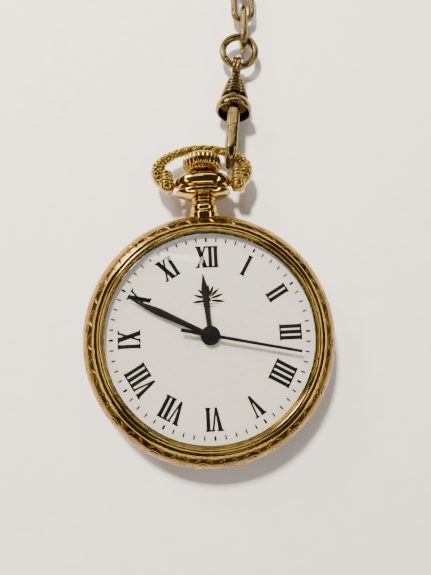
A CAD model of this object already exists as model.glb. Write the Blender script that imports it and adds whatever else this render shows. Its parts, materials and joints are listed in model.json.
"""Open-face pocket watch with an engraved gold case, a folding bow, a swivel clasp and a cable chain."""

import json
import logging
import math
import sys
from dataclasses import dataclass, field
from enum import Enum
from typing import Callable

import bmesh
import bpy
import numpy as np
from mathutils import Matrix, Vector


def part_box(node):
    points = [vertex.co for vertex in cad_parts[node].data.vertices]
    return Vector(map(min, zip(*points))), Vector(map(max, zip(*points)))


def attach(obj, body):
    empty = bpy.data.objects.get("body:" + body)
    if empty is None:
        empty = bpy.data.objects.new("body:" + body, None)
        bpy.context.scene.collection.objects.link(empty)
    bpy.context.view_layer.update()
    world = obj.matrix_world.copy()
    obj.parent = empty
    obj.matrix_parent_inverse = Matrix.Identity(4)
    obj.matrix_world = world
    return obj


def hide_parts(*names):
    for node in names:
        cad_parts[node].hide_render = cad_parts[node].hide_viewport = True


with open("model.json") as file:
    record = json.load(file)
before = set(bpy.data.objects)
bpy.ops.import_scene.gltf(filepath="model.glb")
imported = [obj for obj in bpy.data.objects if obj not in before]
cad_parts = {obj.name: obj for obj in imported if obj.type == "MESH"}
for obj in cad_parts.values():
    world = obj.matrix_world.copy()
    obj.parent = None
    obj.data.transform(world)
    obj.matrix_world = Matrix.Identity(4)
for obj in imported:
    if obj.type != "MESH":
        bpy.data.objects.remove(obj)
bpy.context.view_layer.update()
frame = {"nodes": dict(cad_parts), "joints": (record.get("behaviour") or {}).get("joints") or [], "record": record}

LOG = logging.getLogger("pocket_watch")
MM = 0.001
UM = 1e-6
TAU = 2 * math.pi
Array = np.ndarray
Point = tuple[float, float]
Place = Callable[[Array], Array]
Section = Callable[[int, Array], tuple[Array, Array]]
UP = np.array([0.0, 0, 1])


# ---------- measures and shapes ----------


def extent(node: str) -> tuple[Array, Array]:
    """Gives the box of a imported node.

    Args:
        node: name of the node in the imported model.

    Returns:
        The lowest and the highest corner in millimetres.
    """
    low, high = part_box(node)
    return np.array(low) / MM, np.array(high) / MM


def middle(node: str) -> Array:
    """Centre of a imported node's box in millimetres."""
    low, high = extent(node)
    return (low + high) / 2


def turn(axis: str, degrees: float) -> Array:
    """Rotation matrix about one of the axes X, Y and Z."""
    return np.array(Matrix.Rotation(math.radians(degrees), 3, axis))


def smooth_step(x: Array, low: float, high: float) -> Array:
    """Rises smoothly from 0 at low to 1 at high."""
    t = np.clip((x - low) / (high - low), 0, 1)
    return t * t * (3 - 2 * t)


def arc(centre: Point, radius: float, start: float, end: float, count: int = 12) -> list[Point]:
    """Points on part of a circle.

    Args:
        centre: centre of the circle.
        radius: radius of the circle.
        start: first angle in degrees.
        end: last angle in degrees.
        count: number of points.

    Returns:
        The points from the first angle to the last.
    """
    angles = np.radians(np.linspace(start, end, count))
    return [(centre[0] + radius * math.cos(a), centre[1] + radius * math.sin(a)) for a in angles]


def through(points: list[Point], per_span: int = 6) -> list[Point]:
    """Rounds a profile by a smooth curve through its points.

    Args:
        points: the profile's points; a point given twice stays a corner.
        per_span: number of new points for each span.

    Returns:
        The points of the smooth curve.
    """
    p = np.array([points[0], *points, points[-1]], float)
    steps = np.linspace(0, 1, per_span, endpoint=False)[:, None]
    spans = []
    for a, b, c, d in zip(p, p[1:], p[2:], p[3:]):
        spans.append(
            0.5 * (2 * b + (c - a) * steps + (2 * a - 5 * b + 4 * c - d) * steps**2
                   + (3 * b - a - 3 * c + d) * steps**3)
        )
    return [tuple(q) for q in np.vstack([*spans, p[-1:]])]


def as_object(name: str, points: Array, faces: list, sharp_deg: float = 50) -> bpy.types.Object:
    """Makes an object from points in millimetres.

    Args:
        name: name of the piece.
        points: corner points in millimetres.
        faces: tuples of indices into the points.
        sharp_deg: edges that bend more than this stay sharp.

    Returns:
        The new object, with its faces turned outwards.
    """
    mesh = bpy.data.meshes.new(name)
    mesh.from_pydata((points * MM).tolist(), [], faces)
    work = bmesh.new()
    work.from_mesh(mesh)
    bmesh.ops.remove_doubles(work, verts=work.verts, dist=1e-7)
    bmesh.ops.dissolve_degenerate(work, edges=work.edges, dist=1e-8)
    bmesh.ops.recalc_face_normals(work, faces=work.faces)
    work.to_mesh(mesh)
    work.free()
    mesh.polygons.foreach_set("use_smooth", np.ones(len(mesh.polygons), bool))
    mesh.set_sharp_from_angle(angle=math.radians(sharp_deg))
    piece = bpy.data.objects.new(name, mesh)
    bpy.context.scene.collection.objects.link(piece)
    return piece


class MeshParts:
    """Gathers grids and prisms into one mesh."""

    def __init__(self) -> None:
        """Starts with no points and no faces."""
        self.points: list[Array] = []
        self.faces: list[tuple[int, ...]] = []
        self.count = 0

    def add(self, points: Array, faces: list[tuple[int, ...]]) -> None:
        """Adds points and the faces between them.

        Args:
            points: the new points.
            faces: tuples of indices into the new points.
        """
        self.points.append(points)
        self.faces += [tuple(i + self.count for i in face) for face in faces]
        self.count += len(points)

    def grid(
        self, points: Array, wrap_rows: bool, wrap_columns: bool, place: Place | None = None
    ) -> "MeshParts":
        """Adds a surface that runs through a grid of points.

        Args:
            points: array of rows, columns and three coordinates.
            wrap_rows: the last row joins the first; without it both end rows are closed.
            wrap_columns: the last column joins the first.
            place: moves the points to their place.

        Returns:
            The same mesh parts.
        """
        rows, columns = points.shape[:2]
        flat = points.reshape(-1, 3)
        i, j = np.meshgrid(
            np.arange(rows if wrap_rows else rows - 1),
            np.arange(columns if wrap_columns else columns - 1),
            indexing="ij",
        )
        i2, j2 = (i + 1) % rows, (j + 1) % columns
        quads = np.stack([i * columns + j, i2 * columns + j, i2 * columns + j2, i * columns + j2], -1)
        faces = [tuple(q) for q in quads.reshape(-1, 4).tolist()]
        if not wrap_rows and wrap_columns:
            faces += [tuple(range(columns)), tuple(range((rows - 1) * columns, rows * columns))]
        self.add(place(flat) if place else flat, faces)
        return self

    def prism(self, outline: list[Point], low: float, high: float, place: Place | None = None) -> None:
        """Adds a flat piece with the given outline between two heights.

        Args:
            outline: corners of the outline.
            low: height of its lower face.
            high: height of its upper face.
            place: moves the points to their place.
        """
        count = len(outline)
        flat = np.array([(x, y, z) for z in (low, high) for x, y in outline])
        sides = [(k, (k + 1) % count, (k + 1) % count + count, k + count) for k in range(count)]
        ends = [tuple(range(count)), tuple(range(count, 2 * count))]
        self.add(place(flat) if place else flat, sides + ends)

    def build(self, name: str, sharp_deg: float = 50) -> bpy.types.Object:
        """Makes the object from all that was added."""
        return as_object(name, np.vstack(self.points), self.faces, sharp_deg)


def turned(profile: list[Point], segments: int = 192, shape: Callable | None = None) -> Array:
    """Turns a profile of radius and height round Z.

    Args:
        profile: radius and height of each point.
        segments: number of steps round the axis.
        shape: changes the radii and heights, given them and the angles.

    Returns:
        Grid of points, with the angle along its rows.
    """
    radii, heights = np.array(profile, float).T
    angles = np.linspace(0, TAU, segments, endpoint=False)[:, None]
    r = np.broadcast_to(radii, (segments, len(radii)))
    z = np.broadcast_to(heights, r.shape)
    if shape:
        r, z = shape(r, z, angles)
    return np.stack([r * np.cos(angles), r * np.sin(angles), z], -1)


def swept(path: Array, side: Array, section: Section, count: int) -> Array:
    """Carries a section along a flat path.

    Args:
        path: centre points of the sweep.
        side: direction at right angles to the plane of the path.
        section: gives the offsets along side and across it, for a row and the angles round the section.
        count: number of points round the section.

    Returns:
        Grid of points with one row for each path point.
    """
    tangent = np.gradient(path, axis=0)
    tangent /= np.linalg.norm(tangent, axis=1)[:, None]
    across = np.cross(tangent, side)
    angles = np.linspace(0, TAU, count, endpoint=False)
    rows = []
    for k, centre in enumerate(path):
        a, b = section(k, angles)
        rows.append(centre + np.outer(a, side) + np.outer(b, across[k]))
    return np.array(rows)


def ring_grid(path: Array, side: Array, offsets: tuple[Array, Array]) -> Array:
    """Carries one section round a closed flat path.

    Args:
        path: centre points of the closed path, its first point not repeated.
        side: direction at right angles to the plane of the path.
        offsets: the section's offsets along side and across it.

    Returns:
        Grid of points with one row for each path point.
    """
    tangent = np.roll(path, -1, 0) - np.roll(path, 1, 0)
    tangent /= np.linalg.norm(tangent, axis=1)[:, None]
    across = np.cross(tangent, side)
    along_side, along_across = offsets
    return (path[:, None, :] + along_side[None, :, None] * side
            + along_across[None, :, None] * across[:, None, :])


def wire_section(radius: float, count: int) -> tuple[Array, Array]:
    """Offsets of a round wire of the given radius, with count points round it."""
    angles = np.linspace(0, TAU, count, endpoint=False)
    return radius * np.cos(angles), radius * np.sin(angles)


# ---------- finishes ----------


def linear(code: str) -> tuple[float, float, float, float]:
    """Turns an sRGB hex colour into linear values.

    Args:
        code: six hex digits.

    Returns:
        Linear red, green and blue, and an alpha of 1.
    """
    channels = [int(code[i:i + 2], 16) / 255 for i in (0, 2, 4)]
    return (*[c / 12.92 if c <= 0.04045 else ((c + 0.055) / 1.055) ** 2.4 for c in channels], 1.0)


def per_mm(size_mm: float) -> float:
    """Texture scale for a pattern whose features are this many millimetres apart."""
    return 1 / (size_mm * MM)


def bands_per_mm(size_mm: float) -> float:
    """Scale of a wave texture, which has 20 bands to a unit, for bands this many millimetres apart."""
    return per_mm(size_mm) / 20


def add_node(
    tree: bpy.types.NodeTree, kind: str, settings: dict | None = None, values: dict | None = None,
    links: dict | None = None,
) -> bpy.types.Node:
    """Adds a node with its settings and links.

    Args:
        tree: the material's node tree.
        kind: type name of the node.
        settings: properties of the node.
        values: constants for its input sockets.
        links: output sockets that feed its input sockets.

    Returns:
        The new node.
    """
    node = tree.nodes.new(kind)
    for key, value in (settings or {}).items():
        setattr(node, key, value)
    for key, value in (values or {}).items():
        node.inputs[key].default_value = value
    for key, source in (links or {}).items():
        tree.links.new(source, node.inputs[key])
    return node


def set_ramp(node: bpy.types.Node, stops: list[tuple[float, tuple]]) -> None:
    """Sets the stops of a colour ramp.

    Args:
        node: the colour ramp.
        stops: position and colour of each stop.
    """
    elements = node.color_ramp.elements
    while len(elements) < len(stops):
        elements.new(0.5)
    for element, (position, colour) in zip(elements, stops):
        element.position = position
        element.color = colour


class Finish:
    """A surface finish that is turned into a material once."""

    made: dict[str, bpy.types.Material] = {}

    def material(self) -> bpy.types.Material:
        """Gives the material of this finish, made at its first use.

        Returns:
            The material, shared by all pieces with this finish.
        """
        key = self.name
        if key not in Finish.made:
            material = bpy.data.materials.new(key)
            material.use_nodes = True
            tree = material.node_tree
            tree.nodes.clear()
            out = add_node(tree, "ShaderNodeOutputMaterial")
            tree.links.new(self.shader(tree), out.inputs["Surface"])
            Finish.made[key] = material
        return Finish.made[key]

    def shader(self, tree: bpy.types.NodeTree) -> bpy.types.NodeSocket:
        """Builds the shader; each finish has its own."""
        raise NotImplementedError


@dataclass(frozen=True)
class Metal(Finish):
    """Metal with cloudy tone, worn roughness and fine polishing lines.

    Attributes:
        name: name of the material.
        light: colour of the clean metal.
        dark: colour where it is dull or stained.
        rough_low: roughness where it is best polished.
        rough_high: roughness where it is worn.
        cloud_mm: size of the patches of tone.
        grain_mm: spacing of the polishing lines.
        grain_um: height of the polishing lines in micrometres.
        cavity: how strongly hollows are darkened.
        grime: colour that darkens the hollows.
        crevice: pointiness in a deep hollow and on a flat face.
    """

    name: str
    light: str
    dark: str
    rough_low: float
    rough_high: float
    cloud_mm: float = 3.0
    grain_mm: float = 0.25
    grain_um: float = 0.4
    cavity: float = 0.0
    grime: str = "3a2a12"
    crevice: tuple[float, float] = (0.44, 0.505)

    def shader(self, tree: bpy.types.NodeTree) -> bpy.types.NodeSocket:
        """Builds the metal.

        Args:
            tree: the material's node tree.

        Returns:
            The shader's output socket.
        """
        place = add_node(tree, "ShaderNodeTexCoord").outputs["Object"]
        cloud = add_node(
            tree, "ShaderNodeTexNoise",
            values={"Scale": per_mm(self.cloud_mm), "Detail": 5.0, "Roughness": 0.6}, links={"Vector": place},
        ).outputs["Fac"]
        grain = add_node(
            tree, "ShaderNodeTexNoise", values={"Scale": per_mm(self.grain_mm), "Detail": 3.0},
            links={"Vector": place},
        ).outputs["Fac"]
        tone = add_node(tree, "ShaderNodeValToRGB", links={"Fac": cloud})
        set_ramp(tone, [(0.3, linear(self.dark)), (0.62, linear(self.light))])
        colour = tone.outputs["Color"]
        if self.cavity:
            pointed = add_node(tree, "ShaderNodeNewGeometry").outputs["Pointiness"]
            hollow = add_node(
                tree, "ShaderNodeMapRange",
                values={"From Min": self.crevice[0], "From Max": self.crevice[1],
                        "To Min": self.cavity, "To Max": 0.0},
                links={"Value": pointed},
            ).outputs["Result"]
            colour = add_node(
                tree, "ShaderNodeMix", {"data_type": "RGBA", "blend_type": "MULTIPLY"},
                {"B": linear(self.grime)}, {"Factor": hollow, "A": colour},
            ).outputs["Result"]
        rough = add_node(
            tree, "ShaderNodeMapRange",
            values={"From Min": 0.3, "From Max": 0.7, "To Min": self.rough_low, "To Max": self.rough_high},
            links={"Value": cloud},
        ).outputs["Result"]
        bump = add_node(
            tree, "ShaderNodeBump", values={"Strength": 1.0, "Distance": self.grain_um * UM},
            links={"Height": grain},
        ).outputs["Normal"]
        return add_node(
            tree, "ShaderNodeBsdfPrincipled", values={"Metallic": 1.0},
            links={"Base Color": colour, "Roughness": rough, "Normal": bump},
        ).outputs["BSDF"]


@dataclass(frozen=True)
class StripedNickel(Finish):
    """Nickel plate with broad straight stripes.

    Attributes:
        name: name of the material.
        light: colour of the crests.
        dark: colour of the hollows between the stripes.
        stripe_mm: spacing of the stripes.
        stripe_um: height of the stripes in micrometres.
        roughness: roughness of the plate.
    """

    name: str
    light: str
    dark: str
    stripe_mm: float
    stripe_um: float
    roughness: float

    def shader(self, tree: bpy.types.NodeTree) -> bpy.types.NodeSocket:
        """Builds the stripes as bands of height and tone.

        Args:
            tree: the material's node tree.

        Returns:
            The shader's output socket.
        """
        place = add_node(tree, "ShaderNodeTexCoord").outputs["Object"]
        wave = add_node(
            tree, "ShaderNodeTexWave", {"bands_direction": "DIAGONAL"},
            {"Scale": bands_per_mm(self.stripe_mm), "Distortion": 0.0}, {"Vector": place},
        ).outputs["Fac"]
        tone = add_node(tree, "ShaderNodeValToRGB", links={"Fac": wave})
        set_ramp(tone, [(0.0, linear(self.dark)), (1.0, linear(self.light))])
        bump = add_node(
            tree, "ShaderNodeBump", values={"Strength": 0.6, "Distance": self.stripe_um * UM},
            links={"Height": wave},
        ).outputs["Normal"]
        return add_node(
            tree, "ShaderNodeBsdfPrincipled", values={"Metallic": 1.0, "Roughness": self.roughness},
            links={"Base Color": tone.outputs["Color"], "Normal": bump},
        ).outputs["BSDF"]


@dataclass(frozen=True)
class RingedGold(Finish):
    """Polished gold plate with fine turned rings round the axis of the watch.

    Attributes:
        name: name of the material.
        light: colour of the crests.
        dark: colour of the hollows between the rings.
        ring_mm: spacing of the rings.
        ring_um: height of the rings in micrometres.
    """

    name: str
    light: str
    dark: str
    ring_mm: float
    ring_um: float

    def shader(self, tree: bpy.types.NodeTree) -> bpy.types.NodeSocket:
        """Builds the rings as bands of height and tone.

        Args:
            tree: the material's node tree.

        Returns:
            The shader's output socket.
        """
        place = add_node(tree, "ShaderNodeTexCoord").outputs["Object"]
        rings = add_node(
            tree, "ShaderNodeTexWave", {"wave_type": "RINGS", "rings_direction": "Z"},
            {"Scale": bands_per_mm(self.ring_mm), "Distortion": 0.15, "Detail Scale": per_mm(2.0)},
            {"Vector": place},
        ).outputs["Fac"]
        tone = add_node(tree, "ShaderNodeValToRGB", links={"Fac": rings})
        set_ramp(tone, [(0.15, linear(self.dark)), (0.7, linear(self.light))])
        rough = add_node(
            tree, "ShaderNodeMapRange", values={"To Min": 0.2, "To Max": 0.1}, links={"Value": rings}
        ).outputs["Result"]
        bump = add_node(
            tree, "ShaderNodeBump", values={"Strength": 0.8, "Distance": self.ring_um * UM},
            links={"Height": rings},
        ).outputs["Normal"]
        return add_node(
            tree, "ShaderNodeBsdfPrincipled", values={"Metallic": 1.0},
            links={"Base Color": tone.outputs["Color"], "Roughness": rough, "Normal": bump},
        ).outputs["BSDF"]


@dataclass(frozen=True)
class Lacquer(Finish):
    """Paint or ink: an even coat with a fine grain.

    Attributes:
        name: name of the material.
        light: main colour of the coat.
        dark: colour of its faint clouds.
        roughness: roughness of the coat.
        grain_mm: size of the grain.
        grain_um: height of the grain in micrometres.
        glint: share of the usual mirror reflection.
    """

    name: str
    light: str
    dark: str
    roughness: float
    grain_mm: float
    grain_um: float
    glint: float = 0.5

    def shader(self, tree: bpy.types.NodeTree) -> bpy.types.NodeSocket:
        """Builds the coat.

        Args:
            tree: the material's node tree.

        Returns:
            The shader's output socket.
        """
        place = add_node(tree, "ShaderNodeTexCoord").outputs["Object"]
        grain = add_node(
            tree, "ShaderNodeTexNoise", values={"Scale": per_mm(self.grain_mm), "Detail": 4.0},
            links={"Vector": place},
        ).outputs["Fac"]
        tone = add_node(tree, "ShaderNodeValToRGB", links={"Fac": grain})
        set_ramp(tone, [(0.35, linear(self.dark)), (0.65, linear(self.light))])
        bump = add_node(
            tree, "ShaderNodeBump", values={"Strength": 1.0, "Distance": self.grain_um * UM},
            links={"Height": grain},
        ).outputs["Normal"]
        return add_node(
            tree, "ShaderNodeBsdfPrincipled",
            values={"Roughness": self.roughness, "IOR": 1.5, "Specular IOR Level": self.glint},
            links={"Base Color": tone.outputs["Color"], "Normal": bump},
        ).outputs["BSDF"]


@dataclass(frozen=True)
class Clear(Finish):
    """Clear acrylic or ruby: bends what is seen through it and lets lamps through.

    Attributes:
        name: name of the material.
        tint: colour of what passes.
        ior: index of refraction.
    """

    name: str
    tint: str
    ior: float

    def shader(self, tree: bpy.types.NodeTree) -> bpy.types.NodeSocket:
        """Builds the clear body, which throws no solid shadow.

        Args:
            tree: the material's node tree.

        Returns:
            The shader's output socket.
        """
        place = add_node(tree, "ShaderNodeTexCoord").outputs["Object"]
        hairlines = add_node(
            tree, "ShaderNodeTexNoise", values={"Scale": per_mm(1.2), "Detail": 8.0, "Roughness": 0.7},
            links={"Vector": place},
        ).outputs["Fac"]
        rough = add_node(
            tree, "ShaderNodeMapRange",
            values={"From Min": 0.4, "From Max": 0.8, "To Min": 0.0, "To Max": 0.03},
            links={"Value": hairlines},
        ).outputs["Result"]
        body = add_node(
            tree, "ShaderNodeBsdfPrincipled",
            values={"Base Color": linear(self.tint), "Transmission Weight": 1.0, "IOR": self.ior},
            links={"Roughness": rough},
        ).outputs["BSDF"]
        open_light = add_node(
            tree, "ShaderNodeBsdfTransparent", values={"Color": linear(self.tint)}
        ).outputs["BSDF"]
        lamp = add_node(tree, "ShaderNodeLightPath").outputs["Is Shadow Ray"]
        mix = add_node(tree, "ShaderNodeMixShader", links={"Fac": lamp})
        tree.links.new(body, mix.inputs[1])
        tree.links.new(open_light, mix.inputs[2])
        return mix.outputs["Shader"]


class Finishes(Enum):
    """Every finish on the watch, with what it gives the eye."""

    # Buffed gold plate: near-mirror, with a soft haze of polishing lines
    POLISHED_GOLD = Metal(
        "polished_gold_plate", "c8a858", "b59547", 0.07, 0.16, cloud_mm=4.0, grain_mm=0.5, grain_um=0.5
    )
    # Turned gold plate on the back: mirror bright, with fine rings that catch the light
    RINGED_GOLD = RingedGold("turned_gold_plate", "cdb062", "a98c42", ring_mm=0.5, ring_um=6.0)
    # Gold plate left satin between cut scrolls: broad soft highlights, browned cuts
    SATIN_GOLD = Metal(
        "satin_engraved_gold_plate", "a5833f", "7f622b", 0.16, 0.32, cloud_mm=2.5, grain_mm=0.12,
        grain_um=1.0, cavity=0.9,
    )
    # Cast and plated bow: bright ribs with dark hollows
    CAST_GOLD = Metal(
        "cast_gold_plated_bow", "c6a757", "a4863c", 0.22, 0.32, cloud_mm=2.0, grain_mm=0.2, grain_um=0.5,
        cavity=1.0,
    )
    # Old brass, rubbed bright on its crests and brown in its hollows
    OLD_BRASS = Metal(
        "antique_rubbed_brass", "8a774a", "64522e", 0.18, 0.34, cloud_mm=1.6, grain_mm=0.15, grain_um=1.0,
        cavity=0.95,
    )
    # Gilt wheels: soft yellow with a fine even grain
    GILT = Metal(
        "gilt_brass_wheel", "d8b676", "c39a55", 0.22, 0.32, cloud_mm=1.5, grain_mm=0.06, grain_um=0.8
    )
    # Hardened steel: bright grey with a fine grain
    STEEL = Metal(
        "polished_hard_steel", "b9bcc0", "9a9da3", 0.14, 0.26, cloud_mm=1.5, grain_mm=0.06, grain_um=0.6
    )
    # Steel blued over a flame: deep blue with purple clouds
    BLUED = Metal(
        "flame_blued_steel", "2b3f8a", "3a2a6e", 0.12, 0.2, cloud_mm=0.8, grain_mm=0.08, grain_um=0.4
    )
    # Striped nickel bridges: pale stripes that roll the light as the watch is tilted
    NICKEL = StripedNickel(
        "striped_nickel_plate", "e2ded4", "bdb9ae", stripe_mm=1.6, stripe_um=20.0, roughness=0.28
    )
    # Satin off-white dial lacquer: even and almost matt, with a faint pearl grain
    DIAL = Lacquer("dial_satin_lacquer", "aca79e", "a7a298", 0.42, grain_mm=0.6, grain_um=1.5)
    # Printed ink: dense black with hardly any gloss
    INK = Lacquer("printed_black_ink", "060606", "0a0a0a", 0.5, grain_mm=0.2, grain_um=1.0, glint=0.1)
    # Stoved black enamel on the hands: deep black with a soft gloss
    HAND = Lacquer("stoved_black_enamel", "050506", "0a0a0b", 0.35, grain_mm=0.5, grain_um=0.5, glint=0.25)
    # Cast acrylic crystal: clear, with faint hairlines that soften its reflections
    ACRYLIC = Clear("cast_clear_acrylic", "fbfcfb", ior=1.49)
    # Synthetic ruby bearings: deep clear red
    RUBY = Clear("synthetic_ruby", "c4123f", ior=1.77)
    # Matt painted table top: pale and even, so that only shadows show on it
    TABLE = Lacquer("matt_painted_table", "dcd7cf", "d8d3ca", 0.7, grain_mm=3.0, grain_um=2.0)


def dress(piece: bpy.types.Object, finish: Finishes) -> None:
    """Gives a piece one finish on all its faces.

    Args:
        piece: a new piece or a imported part.
        finish: its finish.
    """
    slots = piece.data.materials
    slots.clear()
    slots.append(finish.value.material())


def fit(piece: bpy.types.Object, body: str, slot: str, finish: Finishes, *nodes: str) -> None:
    """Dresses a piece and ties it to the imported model.

    Args:
        piece: the new piece.
        body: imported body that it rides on.
        slot: material slot of the record.
        finish: its finish.
        nodes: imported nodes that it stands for.
    """
    dress(piece, finish)
    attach(piece, body)
    if nodes:
        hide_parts(*nodes)
    LOG.info("made %s: %d faces on body %s", piece.name, len(piece.data.polygons), body)


def fit_brass(piece: bpy.types.Object, body: str, node: str) -> None:
    """Dresses a piece of the clasp or chain in old brass and ties it to its body and node."""
    fit(piece, body, "antique_brass", Finishes.OLD_BRASS, node)


# ---------- case ----------


def strokes_of_scroll(period: float) -> list[tuple[Array, float]]:
    """Lines of one repeat of the engraved scroll and leaf pattern.

    Args:
        period: length of one repeat along the band in millimetres.

    Returns:
        Points of each line, along and across the band, with its width.
    """
    wave, coil = 0.75, 1.35
    s = np.linspace(0, 1, 60)[:, None]
    lines = [(np.hstack([s * period, wave * np.sin(TAU * s)]), 0.17)]
    for side, start in ((1, 0.25), (-1, 0.75)):
        centre = np.array([start * period, -wave * side])
        angle = math.pi / 2 * side + side * 2.9 * math.pi * s
        radius = coil * (1 - s) + 0.12
        lines.append((centre + np.hstack([radius * np.cos(angle), radius * np.sin(angle)]), 0.19))
        for lean, reach in ((0.35, 1.15), (0.9, 1.0), (-0.3, 0.95)):
            root = np.array([(start + 0.25) * period, 0.2 * side])
            way = np.array([math.sin(lean), side * math.cos(lean)])
            bulge = np.array([way[1], -way[0]]) * 0.22 * np.sin(math.pi * s)
            lines += [(root + way * reach * s + bulge, 0.13), (root + way * reach * s - bulge, 0.13)]
        for k in range(4):
            tip = np.array([(start - 0.1 + 0.07 * k) * period, 1.25 * side])
            lines.append((tip + np.hstack([0.18 * s, 0.55 * side * s]), 0.11))
    return lines


@dataclass
class WatchCase:
    """The band, back, bezel, crystal and pendant.

    Attributes:
        centre_z: height of the middle of the band.
        band_radius: radius of the band's round section.
        repeats: repeats of the engraving round the band.
        cut_depth: depth of the engraved lines.
        columns: steps round the band.
        bead_inner: centre and radius of the bezel's inner bead.
        bead_outer: centre and radius of the bezel's outer bead.
        wall: thickness of the crystal.
        pattern_deg: angle of the pattern's middle on the band's round section.
        steps: steps across the band's round section.
        bezel_foot: height of the bezel's lower face.
        dome_span: half width over which the crystal's dome is measured.
        dome_sag: how far the dome falls over that half width.
        shoulder: radius of the crystal's rounded edge.
        head_flat: depth of the pendant's head, as a share of its width.
        body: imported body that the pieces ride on.
        outer: outer radius of the band.
    """

    centre_z: float = 5.0
    band_radius: float = 3.52
    repeats: int = 16
    cut_depth: float = 0.085
    columns: int = 1536
    bead_inner: tuple[Point, float] = ((18.72, 9.2), 0.4)
    bead_outer: tuple[Point, float] = ((19.46, 8.93), 0.4)
    wall: float = 0.8
    pattern_deg: float = 22.0
    steps: int = 84
    bezel_foot: float = 8.42
    dome_span: float = 17.6
    dome_sag: float = 2.0
    shoulder: float = 0.6
    head_flat: float = 0.6
    body: str = "case"
    outer: float = field(init=False)

    def __post_init__(self) -> None:
        """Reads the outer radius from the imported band."""
        self.outer = float(extent("case_middle")[1][0])

    def engraving(self, along: Array, across: Array) -> Array:
        """Depth of the engraving on the band.

        Args:
            along: place along the band within one repeat.
            across: place across the band, 0 in the middle of the pattern.

        Returns:
            Depth at each place, as a share of the full depth.
        """
        period = TAU * self.outer / self.repeats
        depth = np.zeros(along.shape)
        for line, width in strokes_of_scroll(period):
            for shift in (-period, 0, period):
                gap = np.full(along.shape, 9.0)
                for x, y in line:
                    gap = np.minimum(gap, np.hypot(along - x - shift, across - y))
                depth = np.maximum(depth, 1 - smooth_step(gap, 0.25 * width, width))
        for k, lean in ((0.12, 0.8), (0.38, -0.8), (0.62, 0.8), (0.87, -0.8)):
            offset = along - k * period - lean * (across - 2.35)
            notch = (1 - smooth_step(np.abs(offset), 0.05, 0.16)) * smooth_step(across, 1.85, 2.1)
            depth = np.maximum(depth, 1.3 * notch * (1 - smooth_step(across, 2.75, 2.95)))
        return depth

    def band(self) -> None:
        """Builds the engraved band."""
        low, high = extent("case_middle")
        start, end = (
            math.degrees(math.asin((z - self.centre_z) / self.band_radius)) for z in (high[2], low[2])
        )
        mid = self.outer - self.band_radius
        bend = np.radians(np.linspace(start, end, self.steps))
        per_repeat = self.columns // self.repeats
        along = np.linspace(0, TAU * self.outer / self.repeats, per_repeat, endpoint=False)[:, None]
        across = (bend - math.radians(self.pattern_deg)) * self.band_radius
        depth = self.cut_depth * self.engraving(*np.broadcast_arrays(along, across[None, :]))
        depth *= smooth_step(across, -3.6, -3.0)[None, :]
        radius = self.band_radius - np.tile(depth, (self.repeats, 1))
        skin = np.stack([mid + radius * np.cos(bend), self.centre_z + radius * np.sin(bend)], -1)
        inside = [(20.0, low[2]), (20.0, 3.0), (18.6, 3.0), (18.6, 7.9), (19.3, 7.9), (19.3, high[2])]
        inner = np.broadcast_to(np.array(inside), (self.columns, len(inside), 2))
        profile = np.concatenate([skin, inner], 1)
        angles = np.linspace(0, TAU, self.columns, endpoint=False)[:, None]
        r, z = profile[..., 0], profile[..., 1]
        points = np.stack([r * np.cos(angles), r * np.sin(angles), z], -1)
        band = MeshParts().grid(points, True, True).build("case_band", 60)
        fit(band, self.body, "case_gold", Finishes.SATIN_GOLD, "case_middle")

    def bezel(self) -> None:
        """Builds the bezel with its two polished beads."""
        lip = extent("bezel")[0][2] + 0.02
        (inner, ri), (outer, ro) = self.bead_inner, self.bead_outer
        foot = self.bezel_foot
        profile = [
            (18.0, foot), (18.0, 8.58), (18.13, 8.62), (18.13, 8.95), (18.24, 9.05),
            *arc(inner, ri, 186, 12, 22), *arc(outer, ro, 122, -30, 22), (19.78, 8.66), (19.93, 8.6),
            (19.93, foot), (19.28, foot), (19.28, lip), (18.92, lip), (18.92, foot),
        ]
        bezel = MeshParts().grid(turned(profile, 360), True, True).build("bezel_ring", 35)
        fit(bezel, self.body, "polished_gold", Finishes.POLISHED_GOLD, "bezel")

    def crystal(self) -> None:
        """Builds the domed crystal with its steep edge."""
        low, high = extent("crystal")
        edge, top = high[0], high[2]
        dome = (self.dome_span**2 + self.dome_sag**2) / (2 * self.dome_sag)
        shoulder = self.shoulder
        bend = edge - shoulder
        reach = np.linspace(0, bend - 0.05, 40)
        outside = [(r, top - dome + math.sqrt(dome**2 - r * r)) for r in reach]
        outside += arc((bend, outside[-1][1] - shoulder), shoulder, 84, 0, 14)
        inner_edge = edge - 0.3
        inside = [(inner_edge, low[2]), (inner_edge, 8.95), (inner_edge - 0.1, 9.1)]
        back = np.linspace(inner_edge - 0.3, 0, 40)
        inside += [(r, top - dome + math.sqrt((dome - self.wall) ** 2 - r * r)) for r in back]
        profile = [*outside, (edge, low[2]), *inside]
        crystal = MeshParts().grid(turned(profile, 288), True, False).build("domed_crystal", 40)
        fit(crystal, self.body, "crystal", Finishes.ACRYLIC, "crystal")

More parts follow.
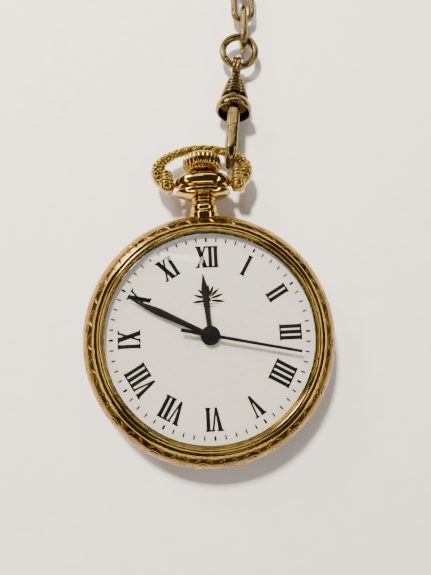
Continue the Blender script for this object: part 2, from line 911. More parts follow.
    def pendant(self) -> None:
        """Builds the pendant: foot, ball, ring, trumpet and polished head."""
        low, high = extent("pendant")
        foot, wide = low[1], high[0]
        column = through([
            (2.6, 22.2), (2.7, 22.42), (2.62, 22.66), (2.3, 22.78), (1.96, 22.82), (1.96, 22.82),
            (2.26, 23.0), (2.5, 23.5), (2.4, 24.05), (1.96, 24.5), (1.56, 24.7), (1.56, 24.7),
            (1.9, 24.76), (2.06, 24.94), (1.92, 25.12), (1.6, 25.18), (1.6, 25.18), (2.0, 25.24),
            (2.28, 25.44), (2.1, 25.64), (1.84, 25.7), (1.84, 25.7), (2.4, 25.82), (3.3, 26.04),
            (4.3, 26.3), (4.96, 26.56), (5.14, 26.9), (5.0, 27.18), (4.3, 27.3), (4.3, 27.3),
        ], 5)
        column += [
            (wide * math.cos(a) ** 0.62, 29.02 + 1.74 * math.copysign(abs(math.sin(a)) ** 0.9, a))
            for a in np.radians(np.linspace(-72, 80, 52))
        ]
        profile = [(0.0, foot), (2.6, foot), *column, (1.6, 30.8), (1.6, 32.5), (0.0, 32.5)]

        def place(points: Array) -> Array:
            """Lays the turning along the pendant axis and flattens its head.

            Args:
                points: points of the turning.

            Returns:
                The moved points.
            """
            x, y, along = points.T
            head = smooth_step(along, 25.8, 26.6) * (1 - smooth_step(along, 30.6, 30.75))
            squeeze = 1 - (1 - self.head_flat) * head
            return np.stack([x, along, self.centre_z - y * squeeze], -1)

        pendant = MeshParts().grid(turned(profile, 192), True, False, place).build("pendant_column", 38)
        fit(pendant, self.body, "case_gold", Finishes.POLISHED_GOLD, "pendant")

    def build(self) -> None:
        """Builds every piece of the case."""
        self.band()
        self.bezel()
        self.crystal()
        self.pendant()
        dress(frame["nodes"]["case_back"], Finishes.RINGED_GOLD)


@dataclass
class Crown:
    """The fluted crown.

    Attributes:
        flutes: ribs round the crown.
        rib: height of each rib.
    """

    flutes: int = 24
    rib: float = 0.4

    def build(self) -> None:
        """Builds the crown along the pendant axis."""
        low, high = extent("crown")
        radius, centre_z = high[0], middle("crown")[2]
        bottom, top = low[1], high[1]
        profile = [
            (0.0, top), (1.2, top - 0.02), (2.2, top - 0.09), (2.9, top - 0.22), (3.2, top - 0.34),
            (3.42, top - 0.52), (3.58, top - 0.72), (radius, top - 0.95), (radius, top - 1.5),
            (radius, bottom + 0.3), (radius - 0.04, bottom - 0.02), (radius - 0.2, bottom - 0.2),
            (3.1, bottom - 0.48), (2.7, bottom - 0.68), (2.2, bottom - 0.84), (1.8, bottom - 0.88),
            (1.72, bottom - 0.8), (1.72, bottom + 1.2), (0.0, bottom + 1.2),
        ]

        def ribs(r: Array, z: Array, angles: Array) -> tuple[Array, Array]:
            """Cuts the flutes between round ribs.

            Args:
                r: radii of the turning.
                z: its heights.
                angles: angle of each row.

            Returns:
                The radii with the flutes cut, and the same heights.
            """
            t = (angles * self.flutes / TAU) % 1 * 2 - 1
            dip = self.rib * (1 - np.sqrt(np.clip(1 - t * t * 0.97, 0, 1)))
            share = np.where(z > top - 1.2, smooth_step(r, 2.9, 3.35), smooth_step(r, 1.9, 3.1))
            return r - dip * share, z

        def place(points: Array) -> Array:
            """Lays the crown along the pendant axis."""
            return np.stack([points[:, 0], points[:, 2], centre_z - points[:, 1]], -1)

        crown = MeshParts().grid(turned(profile, self.flutes * 20, ribs), True, False, place)
        fit(crown.build("fluted_crown", 45), "crown", "polished_gold", Finishes.POLISHED_GOLD, "crown")


@dataclass
class Bow:
    """The ribbed bow with its twisted top.

    Attributes:
        lean: angle by which it leans back, in degrees.
        top: height of its top arc above the pivots.
        arc_radius: radius of the top arc.
        arc_half: half of the top arc, in degrees.
        lobe_radius: radius of the path round each lobe.
        lobe_end: angle where a lobe ends at its pivot, in degrees.
        wires: radius of the wire at the pivots, lobes, shoulders and top.
        rib_pitch: spacing of the ribs on the lobes.
        rib_depth: depth of the grooves between the ribs.
        bead_pitch: spacing of the beads on the shoulders.
        bead_depth: depth of the grooves between the beads.
        strands: strands of the twisted top.
        twist: turn of the strands for each millimetre, in radians.
        knob: offset of the knobs from the middle, and their lift above the bow's plane.
        pivot: place of the pivots, between them.
    """

    lean: float = 12.0
    top: float = 8.25
    arc_radius: float = 12.0
    arc_half: float = 35.0
    lobe_radius: float = 3.6
    lobe_end: float = -77.0
    wires: tuple[float, float, float, float] = (1.2, 1.36, 1.02, 0.84)
    rib_pitch: float = 0.92
    rib_depth: float = 0.36
    bead_pitch: float = 0.95
    bead_depth: float = 0.26
    strands: int = 3
    twist: float = 1.15
    knob: Point = (6.72, 0.55)
    pivot: Array = field(init=False)

    def __post_init__(self) -> None:
        """Reads the pivot from the record's joint."""
        joint = next(j for j in frame["joints"] if j["name"] == "bow_swing")
        self.pivot = np.array(joint["pos_m"]) / MM

    def path(self) -> Array:
        """Centre line from the left pivot over the top to the right one.

        Returns:
            Points of the line, in the plane of the bow.
        """
        centre = np.array([0, self.top - self.arc_radius])
        join = math.radians(90 - self.arc_half)
        lobe = centre + (self.arc_radius - self.lobe_radius) * np.array([math.cos(join), math.sin(join)])
        right = arc(tuple(lobe), self.lobe_radius, 90 - self.arc_half, self.lobe_end, 190)[1:]
        crest = arc(tuple(centre), self.arc_radius, 90 + self.arc_half, 90 - self.arc_half, 300)
        left = [(-x, y) for x, y in reversed(right)]
        return np.array([(x, y, 0.0) for x, y in [*left, *crest, *right]])

    def knobs(self, parts: MeshParts, place: Place) -> None:
        """Adds the ribbed knob at each end, which holds the pivot screw.

        Args:
            parts: mesh of the bow.
            place: leans the bow back at its pivot.
        """
        profile: list[Point] = [(0.0, -1.7), (0.7, -1.66), (1.1, -1.46), (1.3, -1.1), (1.36, -0.7)]
        for k in range(4):
            base = -0.5 + 0.8 * k
            size = (1.36, 1.36, 1.3, 1.16)[k]
            profile += [(size - 0.34, base), (size - 0.08, base + 0.12), (size, base + 0.36),
                        (size - 0.08, base + 0.6), (size - 0.34, base + 0.72)]
        profile += [(0.7, 2.78), (0.0, 2.88)]
        for side in (-1, 1):
            def stand(points: Array, side: int = side) -> Array:
                """Stands the knob beside the pendant's head, leaning slightly out.

                Args:
                    points: points of the knob.
                    side: -1 for the left knob and 1 for the right one.

                Returns:
                    The moved points.
                """
                x, y, along = points.T
                out = side * (self.knob[0] + 0.04 * along + x)
                return place(np.stack([out, along, y + self.knob[1]], -1))

            parts.grid(turned(profile, 72), True, False, stand)

    def build(self) -> None:
        """Builds the bow and its ribs."""
        path = self.path()
        steps = np.linalg.norm(np.diff(path, axis=0), axis=1)
        run = np.concatenate([[0], np.cumsum(steps)])
        reach = np.minimum(run, run[-1] - run)
        lobe = self.lobe_radius * math.radians(90 - self.arc_half - self.lobe_end)
        end, full, shoulder, crest = self.wires
        knots = [0, 1.4, 3.2, lobe - 2.6, lobe - 0.9, lobe + 0.8, lobe + 2.2, run[-1]]
        sizes = [end, full, full, full, shoulder, shoulder * 0.97, crest, crest]
        thick = np.interp(reach, knots, sizes)
        ribbed = smooth_step(reach, 0.7, 1.2) * (1 - smooth_step(reach, lobe - 1.0, lobe - 0.6))
        twisted = smooth_step(reach, lobe + 1.3, lobe + 2.2)
        beaded = smooth_step(reach, lobe - 0.6, lobe - 0.2) * (1 - twisted)

        def section(k: int, angles: Array) -> tuple[Array, Array]:
            """Section of the wire at one step, with its rib, bead or twist.

            Args:
                k: number of the step.
                angles: angles round the section.

            Returns:
                Offsets along and across the plane's normal.
            """
            wave = 0.5 - 0.5 * math.cos(TAU * run[k] / self.rib_pitch)
            smooth_side = smooth_step(-np.sin(angles), 0.25, 0.75) * (1 - smooth_step(reach[k], 4.6, 5.4))
            rib = self.rib_depth * (1 - wave**0.55) * ribbed[k] * (1 - smooth_side)
            bead = self.bead_depth * (0.5 - 0.5 * math.cos(TAU * run[k] / self.bead_pitch)) ** 2 * beaded[k]
            twist = self.strands * (angles + run[k] * self.twist) / 2
            strand = np.abs(np.sin(twist))
            vein = np.abs(np.sin(twist * 4 + run[k] * 3)) ** 4
            leaf = (0.2 * (1 - strand**0.5) + 0.05 * vein) * twisted[k]
            r = thick[k] * (1 - leaf) - rib - bead
            return r * np.cos(angles), r * np.sin(angles)

        tilt = turn("X", -self.lean)

        def place(points: Array) -> Array:
            """Leans the bow back at its pivot."""
            return points @ tilt.T + self.pivot

        parts = MeshParts()
        parts.grid(swept(path, UP, section, 56), False, True, place)
        self.knobs(parts, place)
        fit(parts.build("ribbed_bow", 60), "bow", "case_gold", Finishes.CAST_GOLD, "bow")
        dress(frame["nodes"]["bow_screws"], Finishes.POLISHED_GOLD)


# ---------- dial and hands ----------


def clock_place(angle_deg: float, inner: float) -> Place:
    """Moves flat shapes out to a clock angle, their tops pointing outwards.

    Args:
        angle_deg: angle clockwise from twelve.
        inner: distance of the shape's foot from the centre.

    Returns:
        The function that moves the points.
    """
    a = math.radians(angle_deg)
    out, right = np.array([math.sin(a), math.cos(a)]), np.array([math.cos(a), -math.sin(a)])

    def place(points: Array) -> Array:
        """Moves the points."""
        flat = np.outer(points[:, 1] + inner, out) + np.outer(points[:, 0], right)
        return np.column_stack([flat, points[:, 2]])

    return place


def numeral_shapes(numeral: str, height: float) -> list[list[Point]]:
    """Outlines of a Roman numeral with thick and thin strokes and hairline serifs.

    Args:
        numeral: the letters I, V and X.
        height: height of the letters.

    Returns:
        Outlines centred on x = 0, standing on y = 0.
    """
    thick, serif, gap = 0.67, 0.3, 0.31
    overhang, step_i, step_v, step_x = 0.12, 0.34, 2.11, 2.2
    shapes: list[list[Point]] = []
    x, h = 0.0, height

    def bar(x0: float, x1: float, y0: float, y1: float) -> None:
        """Adds an upright rectangle."""
        shapes.append([(x0, y0), (x1, y0), (x1, y1), (x0, y1)])

    letters = numeral
    while letters:
        if letters[0] == "I":
            run = len(letters) - len(letters.lstrip("I"))
            width = run * thick + (run - 1) * gap
            for k in range(run):
                start = x + k * (thick + gap)
                bar(start, start + thick, 0, h)
            for low in (0, h - serif):
                bar(x - overhang, x + width + overhang, low, low + serif)
            x += width + step_i
            letters = letters[run:]
        elif letters[0] == "V":
            shapes.append([(x, h), (x + 0.9, 0), (x + 1.28, 0), (x + 0.8, h)])
            shapes.append([(x + 1.5, h), (x + 0.95, 0), (x + 1.28, 0), (x + 1.86, h)])
            bar(x - 0.14, x + 0.96, h - serif, h)
            bar(x + 1.32, x + 2.04, h - serif, h)
            x += step_v
            letters = letters[1:]
        else:
            shapes.append([(x, h), (x + 1.2, 0), (x + 2.02, 0), (x + 0.82, h)])
            shapes.append([(x + 1.5, h), (x + 0.08, 0), (x + 0.46, 0), (x + 1.88, h)])
            for low in (0.0, h - serif):
                bar(x - overhang, x + (0.94 if low else 0.66), low, low + serif)
                bar(x + (1.36 if low else 1.08), x + 2.0 + overhang, low, low + serif)
            x += step_x
            letters = letters[1:]
    total = x - (step_i if numeral[-1] == "I" else 0.18)
    return [[(px - total / 2, py) for px, py in shape] for shape in shapes]


@dataclass
class Dial:
    """The dial plate and what is printed on it.

    Attributes:
        numeral_inner: distance of the numerals' feet from the centre.
        numeral_height: height of the numerals.
        track: inner and outer radius of the minute marks.
        ink: thickness of the print.
        bore: radius of the hole in the middle.
        numerals: the numerals, clockwise from twelve.
    """

    numeral_inner: float = 11.95
    numeral_height: float = 3.9
    track: tuple[float, float] = (16.58, 17.34)
    ink: float = 0.025
    bore: float = 1.4
    numerals: tuple[str, ...] = ("XII", "I", "II", "III", "IIII", "V", "VI", "VII", "VIII", "IX", "X", "XI")

    def ornament(self, parts: MeshParts, level: float) -> None:
        """Adds a plain leaf spray under twelve.

        Args:
            parts: mesh of the print.
            level: height of the dial's face.
        """
        leaves = ((24, 2.1, 6.6), (48, 2.3, 6.5), (72, 2.55, 6.35), (96, 2.7, 6.15))
        both_sides = [(side * lean, reach, foot) for lean, reach, foot in leaves for side in (1, -1)]
        for lean, reach, foot in ((0, 2.0, 6.7), *both_sides):
            s = np.linspace(0, 1, 12)
            half = 0.24 * np.sin(math.pi * s) ** 0.8
            side = [(w, y * reach + 0.25) for w, y in zip(half, s)]
            outline = side + [(-w, y) for w, y in reversed(side[1:-1])]
            c, d = math.cos(math.radians(lean)), math.sin(math.radians(lean))
            turned_leaf = [(x * c + y * d, foot - x * d + y * c) for x, y in outline]
            parts.prism(turned_leaf, level, level + self.ink)
        parts.prism(arc((0, 6.3), 0.36, 0, 345, 16), level, level + self.ink)
        for wide, y in ((2.6, 5.5), (1.5, 5.1)):
            parts.prism([(-wide, y), (0, y - 0.1), (wide, y), (0, y + 0.1)], level, level + self.ink)

    def build(self) -> None:
        """Builds the plate and the print."""
        low, high = extent("dial")
        radius, level = high[0], high[2]
        back, bore, ease = low[2] + 0.6, self.bore, 0.05
        profile = [(bore, back), (radius - ease, back), (radius, level - ease), (radius - ease, level),
                   (bore + ease, level), (bore, level - ease)]
        plate = MeshParts().grid(turned(profile, 256), True, True).build("dial_plate", 30)
        fit(plate, "case", "dial", Finishes.DIAL, "dial")
        print_parts = MeshParts()
        top = level + self.ink
        for hour, numeral in enumerate(self.numerals):
            place = clock_place(hour * 30, self.numeral_inner)
            for shape in numeral_shapes(numeral, self.numeral_height):
                print_parts.prism(shape, level, top, place)
        length = self.track[1] - self.track[0]
        for minute in range(60):
            half = 0.19 if minute % 5 == 0 else 0.135
            mark = [(-half, 0), (half, 0), (half, length), (-half, length)]
            print_parts.prism(mark, level, top, clock_place(minute * 6, self.track[0]))
        self.ornament(print_parts, level)
        fit(print_parts.build("dial_print", 30), "case", "hand_black", Finishes.INK)


@dataclass
class Hand:
    """One faceted hand with its hub.

    Attributes:
        node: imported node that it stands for.
        body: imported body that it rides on.
        angle_deg: clock angle at rest.
        stations: distance and half width along the blade.
        hub: radius of the hub.
        boss: radius of the raised boss on the hub.
        ridge: share of the thickness that the ridge takes.
        full_ridge: half width from which the ridge has its full height.
    """

    node: str
    body: str
    angle_deg: float
    stations: tuple[Point, ...]
    hub: float
    boss: float
    ridge: float = 0.7
    full_ridge: float = 0.3

    def build(self) -> None:
        """Builds the blade and the hub as one piece."""
        low, high = extent(self.node)
        bottom, top = low[2], high[2]
        rows = []
        edge = top - (top - bottom) * self.ridge
        for distance, half in self.stations:
            crest = edge + (top - edge) * min(1.0, half / self.full_ridge)
            rows.append([(-half, distance, bottom), (half, distance, bottom), (half, distance, edge),
                         (0, distance, crest), (-half, distance, edge)])
        parts = MeshParts().grid(np.array(rows), False, True, clock_place(self.angle_deg, 0.0))
        hub = [(0.0, bottom - 0.02), (self.hub - 0.04, bottom - 0.02), (self.hub, bottom + 0.04),
               (self.hub, top - 0.06), (self.hub - 0.08, top), (self.boss + 0.12, top + 0.005),
               (self.boss, top + 0.02), (self.boss - 0.1, top + 0.05), (0.0, top + 0.06)]
        parts.grid(turned(hub, 96), True, False)
        fit(parts.build(self.node + "_blade", 18), self.body, "hand_black", Finishes.HAND, self.node)


def hands() -> list[Hand]:
    """Lists the hands with their sizes.

    Returns:
        The hour, minute and seconds hand.
    """
    return [
        Hand("hour_hand", "hours", 355.5, ((1.0, 0.42), (3.5, 0.46), (7.4, 0.63), (8.2, 0.6), (11.0, 0.03)),
             hub=1.7, boss=1.5),
        Hand("minute_hand", "minutes", 297.0,
             ((1.0, 0.42), (5.0, 0.5), (9.4, 0.655), (10.4, 0.62), (15.7, 0.03)), hub=1.55, boss=1.3),
        Hand("seconds_hand", "seconds", 102.6, ((-5.1, 0.32), (-0.6, 0.31), (0.6, 0.3), (15.7, 0.25)),
             hub=0.95, boss=0.4, ridge=0.1),
    ]


# ---------- clasp and chain ----------


@dataclass
class Clasp:
    """The swivel clasp: hook, gate, bell and swivel eye, along its own Y axis.

    Attributes:
        origin: mouth of the bell.
        turns: its turns about X and Z in degrees.
        nose: place of the middle of the nose bend along Y.
        nose_radius: radius of the bend's centre line.
        root: height of each strand at the bell.
        half_width: half width of the hook's bar.
        half_depth: half depth of the hook's bar.
        gate_end: where the gate meets the nose.
        slant: slant of the joint between gate and nose across the width.
        spread: place along Y where the strands reach their height at the bell.
        pivot: place of the gate's pin along Y and Z.
    """

    origin: tuple[float, float, float] = (6.8, 44.0, 3.65)
    turns: tuple[float, float] = (-3.0, -7.0)
    nose: float = -8.9
    nose_radius: float = 2.525
    root: float = 1.9
    half_width: float = 1.17
    half_depth: float = 0.76
    gate_end: float = -4.5
    slant: float = 0.42
    spread: float = 0.35
    pivot: Point = (0.85, 1.9)

    def place(self, points: Array) -> Array:
        """Moves points from the clasp's own axes to the watch."""
        matrix = turn("Z", self.turns[1]) @ turn("X", self.turns[0])
        return points @ matrix.T + np.array(self.origin)

    def along_axis(self, points: Array) -> Array:
        """Lays a turning along the clasp's own Y axis, then places it."""
        return self.place(np.stack([points[:, 0], points[:, 2], -points[:, 1]], -1))

    def strand(self, y: float) -> float:
        """Height of the upper strand at a place along Y."""
        return np.interp(y, [self.nose, self.spread], [self.nose_radius, self.root])

    def bar(self, line: list[Point], square: float, widths: Array, ends: tuple[float, float]) -> Array:
        """Rounded bar along a line in the clasp's plane.

        Args:
            line: points along Y and Z.
            square: 2 for a round bar, more for a squarer one.
            widths: scale of the width at each point.
            ends: slant of the first and the last end across the width.

        Returns:
            Grid of the bar's points.
        """
        path = np.array([(0.0, y, z) for y, z in line])

        def section(k: int, angles: Array) -> tuple[Array, Array]:
            """Section between a circle and a square.

            Args:
                k: number of the row.
                angles: angles round the section.

            Returns:
                Offsets across the bar's width and depth.
            """
            c, s = np.cos(angles), np.sin(angles)
            power = 2 / square
            x = np.sign(c) * np.abs(c) ** power * self.half_width * widths[k]
            z = np.sign(s) * np.abs(s) ** power * self.half_depth
            return x, z

        grid = swept(path, np.array([1.0, 0, 0]), section, 40)
        fade = np.linspace(0, 1, len(line))
        slant = np.clip(1 - fade * 6, 0, 1) * ends[0] + np.clip(1 - (1 - fade) * 6, 0, 1) * ends[1]
        grid[..., 1] += grid[..., 0] * slant[:, None]
        return grid

    def hook(self) -> None:
        """Builds the hook from the bell round the nose to the joint."""
        lower = [(y, -self.strand(y)) for y in np.linspace(1.6, self.nose, 40)]
        bend = arc((self.nose, 0.0), self.nose_radius, 270, 90, 60)
        upper = [(y, self.strand(y)) for y in np.linspace(self.nose, self.gate_end, 24)]
        line = [*lower, *bend[1:], *upper[1:]]
        run = np.linspace(0, 1, len(line))
        widths = 1 - 0.22 * smooth_step(run, 0.25, 0.5) + 0.16 * smooth_step(run, 0.62, 0.85)
        hook = MeshParts().grid(self.bar(line, 2.1, widths, (0.0, self.slant)), False, True, self.place)
        fit_brass(hook.build("clasp_hook_bar", 50), "clasp", "clasp_hook")

    def gate(self) -> None:
        """Builds the gate from the joint to its knuckle."""
        gap = 0.18
        line = [(y, self.strand(y)) for y in np.linspace(self.gate_end + gap, 0.0, 30)]
        line += [(y, self.pivot[1]) for y in np.linspace(0.1, self.pivot[0] + 0.5, 8)]
        run = np.array([y for y, _ in line])
        widths = 1 - 0.36 * smooth_step(run, -0.5, 0.0)
        gate = MeshParts().grid(self.bar(line, 2.5, widths, (self.slant, 0.0)), False, True, self.place)
        fit_brass(gate.build("clasp_gate_bar", 50), "gate", "clasp_gate")

    def bell(self) -> None:
        """Builds the bell with its hollow mouth and stepped ribs."""
        ribs: list[Point] = []
        for k in range(5):
            base = 3.12 + 0.82 * k
            radius = 2.78 - 0.24 * k
            ribs += [(radius - 0.46, base), (radius - 0.1, base + 0.08), (radius, base + 0.24),
                     (radius - 0.02, base + 0.38), (radius - 0.14, base + 0.56), (radius - 0.5, base + 0.72)]
        dome = arc((1.15, 0.5), 2.45, 8, 61, 22)
        rim = [(3.1, 0.02), (3.3, 0.0), (3.48, 0.1), (3.58, 0.3), (3.6, 0.55)]
        neck = [(2.34, 2.86), (2.32, 3.05)]
        top = [(1.08, 7.2), (1.0, 7.32), (0.85, 7.36), (0.76, 7.3), (0.76, 1.72)]
        inside = [(2.8, 1.7), (2.92, 1.6), (2.95, 0.4)]
        profile = [*rim, *dome, *neck, *ribs, *top, *inside]
        bell = MeshParts().grid(turned(profile, 144), True, True, self.along_axis)
        fit_brass(bell.build("clasp_ribbed_bell", 45), "clasp", "clasp_bell")

    def swivel(self) -> None:
        """Builds the swivel eye: a doubled strand folded round the ring."""
        centre, reach, mid = 10.05, 0.85, 1.425
        loop = [*arc((centre + reach, 0.0), mid, -90, 90, 40), *arc((centre, 0.0), mid, 90, 270, 40)]
        path = np.array([(0.0, y, z) for y, z in loop])
        angles = np.linspace(0, TAU, 40, endpoint=False)
        wide = 0.88 * np.sign(np.cos(angles)) * np.abs(np.cos(angles)) ** 0.8
        groove = np.abs(np.sin(np.pi * np.clip(wide / 0.9, -1, 1))) ** 0.6
        deep = 0.28 * np.sin(angles) * (0.45 + 0.55 * groove)
        parts = MeshParts().grid(ring_grid(path, np.array([1.0, 0, 0]), (wide, deep)), True, True, self.place)
        stem = [(0.0, 4.3), (1.2, 4.3), (1.2, 4.85), (0.7, 4.95), (0.7, 7.9), (0.95, 8.1), (0.98, 8.35),
                (0.8, 8.6), (0.0, 8.75)]
        parts.grid(turned(stem, 64), True, False, self.along_axis)
        fit_brass(parts.build("swivel_eye_loop", 45), "swivel", "swivel_eye")

    def build(self) -> None:
        """Builds the whole clasp."""
        self.hook()
        self.gate()
        self.bell()
        self.swivel()
        dress(frame["nodes"]["gate_pin"], Finishes.OLD_BRASS)


@dataclass
class Chain:
    """The jump ring, the links and the bar at the end.

    Attributes:
        length: outer length of a link.
        width: outer width of a link.
        wire: diameter of the wire.
        first_step: distance from the first link to the second.
        step: distance between the other links.
        heading: direction of the first link in degrees.
        straight: number of links on the nearly straight run.
        count: number of links beyond the first two, counted from the first.
        coil_radius: radius of the round in which the chain is put away.
        last_turn: turn of each of the last links in degrees.
        joint_deg: direction of the jump ring's joint in degrees.
        ring_steps: steps round the jump ring.
        eye: radius, wire radius and height of the ring that holds the bar.
    """

    length: float = 9.9
    width: float = 5.0
    wire: float = 1.35
    first_step: float = 6.5
    step: float = 6.9
    heading: float = 87.0
    straight: int = 8
    count: int = 22
    coil_radius: float = 21.0
    last_turn: float = 12.0
    joint_deg: float = 212.6
    ring_steps: int = 160
    eye: tuple[float, float, float] = (1.55, 0.5, 2.1)

    def places(self) -> list[tuple[Array, float]]:
        """Walks from link to link.

        Returns:
            The centre and the heading of every link.
        """
        first = middle("link_1")
        spot, heading = np.array([first[0], first[1]]), self.heading
        found = [(spot, heading)]
        bend = math.degrees(self.step / self.coil_radius)
        for k in range(self.count):
            last = k + 1 > self.count - 2
            swing = 1.0 if k + 1 < self.straight else (self.last_turn if last else bend)
            reach = self.first_step if k == 0 else self.step
            for h in (heading, heading + swing):
                spot = spot + reach / 2 * np.array([math.cos(math.radians(h)), math.sin(math.radians(h))])
            heading += swing
            found.append((spot, heading))
        return found

    def link(self, k: int, spot: Array, heading: float) -> Array:
        """Oval link number k at its place, upright if k is even.

        Args:
            k: number of the link.
            spot: its centre.
            heading: its direction in degrees.

        Returns:
            Grid of the link's points.
        """
        half = self.length / 2 - self.width / 2
        bend = self.width / 2 - self.wire / 2
        right = arc((half, 0.0), bend, -90, 90, 26)
        straight = [(x, bend) for x in np.linspace(half, -half, 12)[1:-1]]
        side_points = [*right, *straight]
        loop = side_points + [(-x, -y) for x, y in side_points]
        path = np.array([(x, y, 0.0) for x, y in loop])
        grid = ring_grid(path, UP, wire_section(self.wire / 2, 28))
        upright = k % 2 == 0
        level = self.width / 2 if upright else middle("link_2")[2]
        if upright:
            grid = grid @ turn("X", 90).T
        return grid @ turn("Z", heading).T + np.array([spot[0], spot[1], level])

    def ring(self) -> None:
        """Builds the jump ring with its fine joint."""
        centre = middle("jump_ring")
        low, high = extent("jump_ring")
        wire = (high[2] - low[2]) / 2
        radius = (high[0] - low[0]) / 2 - wire
        angles = np.radians(np.linspace(self.joint_deg, self.joint_deg + 359.0, self.ring_steps))
        path = np.stack([radius * np.cos(angles), radius * np.sin(angles), 0 * angles], -1)

        def section(k: int, a: Array) -> tuple[Array, Array]:
            """Round wire with eased ends."""
            ease = 0.93 if k in (0, self.ring_steps - 1) else 1.0
            return wire * ease * np.cos(a), wire * ease * np.sin(a)

        ring = MeshParts().grid(swept(path, UP, section, 40), False, True, lambda p: p + centre)
        fit_brass(ring.build("jump_ring_wire", 50), "ring", "jump_ring")

    def bar_end(self, last: tuple[Array, float]) -> None:
        """Builds the ring and the bar at the far end.

        Args:
            last: centre and heading of the last link.
        """
        spot, heading = last
        swing = heading + self.last_turn / 2
        h, g = math.radians(heading), math.radians(swing)
        eye = spot + (self.length / 2 - self.wire - 0.75) * np.array([math.cos(h), math.sin(h)])
        eye = eye + 1.2 * np.array([math.cos(g), math.sin(g)])
        radius, wire, level = self.eye
        matrix = turn("Z", swing)

        def place(points: Array) -> Array:
            """Places points from the bar's own axes."""
            return points @ matrix.T + np.array([eye[0], eye[1], 0.0])

        def bar_place(points: Array) -> Array:
            """Lays the bar across the end of the chain."""
            return place(np.stack([points[:, 0] + 3.1, -points[:, 2], points[:, 1] + 1.7], -1))

        circle = np.radians(np.linspace(0, 360, 72, endpoint=False))
        path = np.stack([radius * np.cos(circle), radius * np.sin(circle), 0 * circle + level], -1)
        ball = arc((0.0, 6.5), 1.4, 90, -42, 18)
        half = [*ball, (0.98, 5.4), (0.95, 5.0), (0.95, 1.5), (1.15, 1.4), (1.35, 1.1), (1.35, 0.6),
                (1.2, 0.5)]
        profile = [*half, *[(r, -z) for r, z in reversed(half)]]
        profile[0], profile[-1] = (0.0, profile[0][1]), (0.0, profile[-1][1])
        parts = MeshParts().grid(ring_grid(path, UP, wire_section(wire, 32)), True, True, place)
        parts.grid(turned(profile, 64), True, False, bar_place)
        fit_brass(parts.build("toggle_bar", 45), "chain", "t_bar")

    def build(self) -> None:
        """Builds the ring, every link and the bar."""
        self.ring()
        places = self.places()
        for k, name in enumerate(("link_1", "link_2")):
            link = MeshParts().grid(self.link(k, *places[k]), True, True)
            fit_brass(link.build(name + "_wire", 50), name, name)
        parts = MeshParts()
        for k in range(2, self.count + 1):
            parts.grid(self.link(k, *places[k]), True, True)
        fit_brass(parts.build("chain_link_wires", 50), "chain", "chain_links")
        self.bar_end(places[-1])


# ---------- movement ----------

SLOT_FINISH = {
    "nickel": Finishes.NICKEL,
    "wheel_brass": Finishes.GILT,
    "steel": Finishes.STEEL,
    "blued_steel": Finishes.BLUED,
    "ruby": Finishes.RUBY,
}


def dress_movement() -> None:
    """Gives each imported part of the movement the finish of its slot."""
    for part in frame["record"]["subparts"]:
        finish = SLOT_FINISH.get(part["material_slot"])
        if finish:
            dress(frame["nodes"][part["node"]], finish)


# ---------- table, lamps and camera ----------


@dataclass(frozen=True)
class Lamp:
    """A soft rectangular lamp.

    Attributes:
        name: name of the lamp.
        spot: its place in millimetres.
        size: its width and height in millimetres.
        power: its power in watts.
        colour: its colour as a hex value.
        aim: the point that it faces, in millimetres.
        shine: whether it is mirrored in polished surfaces.
    """

    name: str
    spot: tuple[float, float, float]
    size: tuple[float, float]
    power: float
    colour: str
    aim: tuple[float, float, float] = (0.0, 10.0, 5.0)
    shine: bool = True

    def build(self) -> None:
        """Hangs the lamp and turns it to its aim."""
        light = bpy.data.lights.new(self.name, "AREA")
        light.shape = "RECTANGLE"
        light.size, light.size_y = (s * MM for s in self.size)
        light.energy = self.power
        light.color = linear(self.colour)[:3]
        lamp = bpy.data.objects.new(self.name, light)
        lamp.visible_glossy = lamp.visible_transmission = self.shine
        bpy.context.scene.collection.objects.link(lamp)
        spot, aim = np.array(self.spot), np.array(self.aim)
        back = (spot - aim) / np.linalg.norm(spot - aim)
        right = np.cross([0.0, 1.0, 0.0], back)
        right /= np.linalg.norm(right)
        lamp.matrix_world = pose(spot, right, np.cross(back, right), back)


def pose(spot: Array, right: Array, up: Array, back: Array) -> Matrix:
    """Matrix of an object at a place in millimetres with the given axes."""
    rows = [[right[i], up[i], back[i], spot[i] * MM] for i in range(3)]
    return Matrix([*rows, [0, 0, 0, 1]])


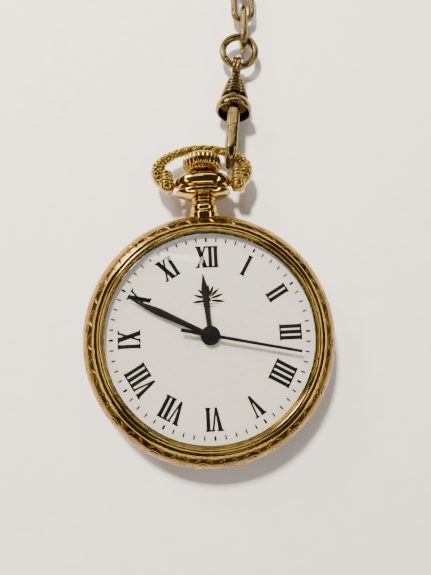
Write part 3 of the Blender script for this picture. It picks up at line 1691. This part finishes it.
@dataclass
class Studio:
    """The table, the lamps and the camera.

    Attributes:
        table_size: width of the table in millimetres.
        table_drop: how far the table lies below the rest face.
        sky: colour of the room.
        sky_strength: strength of the room's light.
        camera_spot: place of the camera in millimetres.
        camera_right: direction of the picture's right.
        camera_up: direction of the picture's top.
        camera_back: direction from the watch to the camera.
        focal: focal length in millimetres.
        sensor: long side of the camera's sensor in millimetres.
    """

    table_size: float = 1600.0
    table_drop: float = 0.02
    sky: str = "b9b2a8"
    sky_strength: float = 0.11
    camera_spot: tuple[float, float, float] = (-1.937, -3.868, 82.516)
    camera_right: tuple[float, float, float] = (0.99812, -0.05054, 0.03481)
    camera_up: tuple[float, float, float] = (0.04421, 0.98561, 0.16317)
    camera_back: tuple[float, float, float] = (-0.04256, -0.16132, 0.98598)
    focal: float = 27.05
    sensor: float = 36.0

    def table(self) -> None:
        """Builds the table top, a little below the rest face."""
        half = self.table_size / 2
        corners = np.array([(x, y, -self.table_drop) for x, y in
                            ((-half, -half), (half, -half), (half, half), (-half, half))])
        top = as_object("table_top", corners, [(0, 1, 2, 3)])
        dress(top, Finishes.TABLE)

    def lamps(self) -> None:
        """Hangs the lamps."""
        for lamp in (
            Lamp("shadow_lamp", (-80, 190, 300), (44, 44), 4.6, "fff6ea", shine=False),
            Lamp("key_softbox", (-240, 280, 240), (110, 110), 1.3, "fff8ec"),
            Lamp("glare_strip", (-120, 215, 290), (260, 18), 0.1, "fffaf4"),
            Lamp("left_strip", (-310, -20, 280), (24, 380), 0.4, "fff8ec"),
            Lamp("right_strip", (310, -20, 280), (30, 380), 0.6, "fff8ec"),
            Lamp("far_strip", (60, 350, 290), (380, 24), 0.4, "fff8ec"),
            Lamp("front_strip", (0, -310, 280), (380, 24), 0.4, "fbfaff"),
        ):
            lamp.build()
        world = bpy.data.worlds.new("room")
        bpy.context.scene.world = world
        world.use_nodes = True
        background = world.node_tree.nodes["Background"]
        background.inputs["Color"].default_value = linear(self.sky)
        background.inputs["Strength"].default_value = self.sky_strength

    def camera(self) -> None:
        """Places the camera almost straight above the dial."""
        data = bpy.data.cameras.new("camera")
        data.sensor_width = self.sensor
        data.lens = self.focal
        data.clip_start = MM
        camera = bpy.data.objects.new("camera", data)
        axes = (self.camera_spot, self.camera_right, self.camera_up, self.camera_back)
        camera.matrix_world = pose(*[np.array(axis) for axis in axes])
        bpy.context.scene.collection.objects.link(camera)
        bpy.context.scene.camera = camera

    def build(self) -> None:
        """Sets up the whole studio."""
        self.table()
        self.lamps()
        self.camera()


def main() -> None:
    """Builds the watch, piece by piece, and the studio round it."""
    logging.basicConfig(level=logging.INFO, format="%(name)s: %(message)s", stream=sys.stdout)
    dress_movement()
    Studio().build()
    WatchCase().build()
    Dial().build()
    for hand in hands():
        hand.build()
    Crown().build()
    Bow().build()
    Clasp().build()
    Chain().build()


if __name__ == "__main__":
    main()
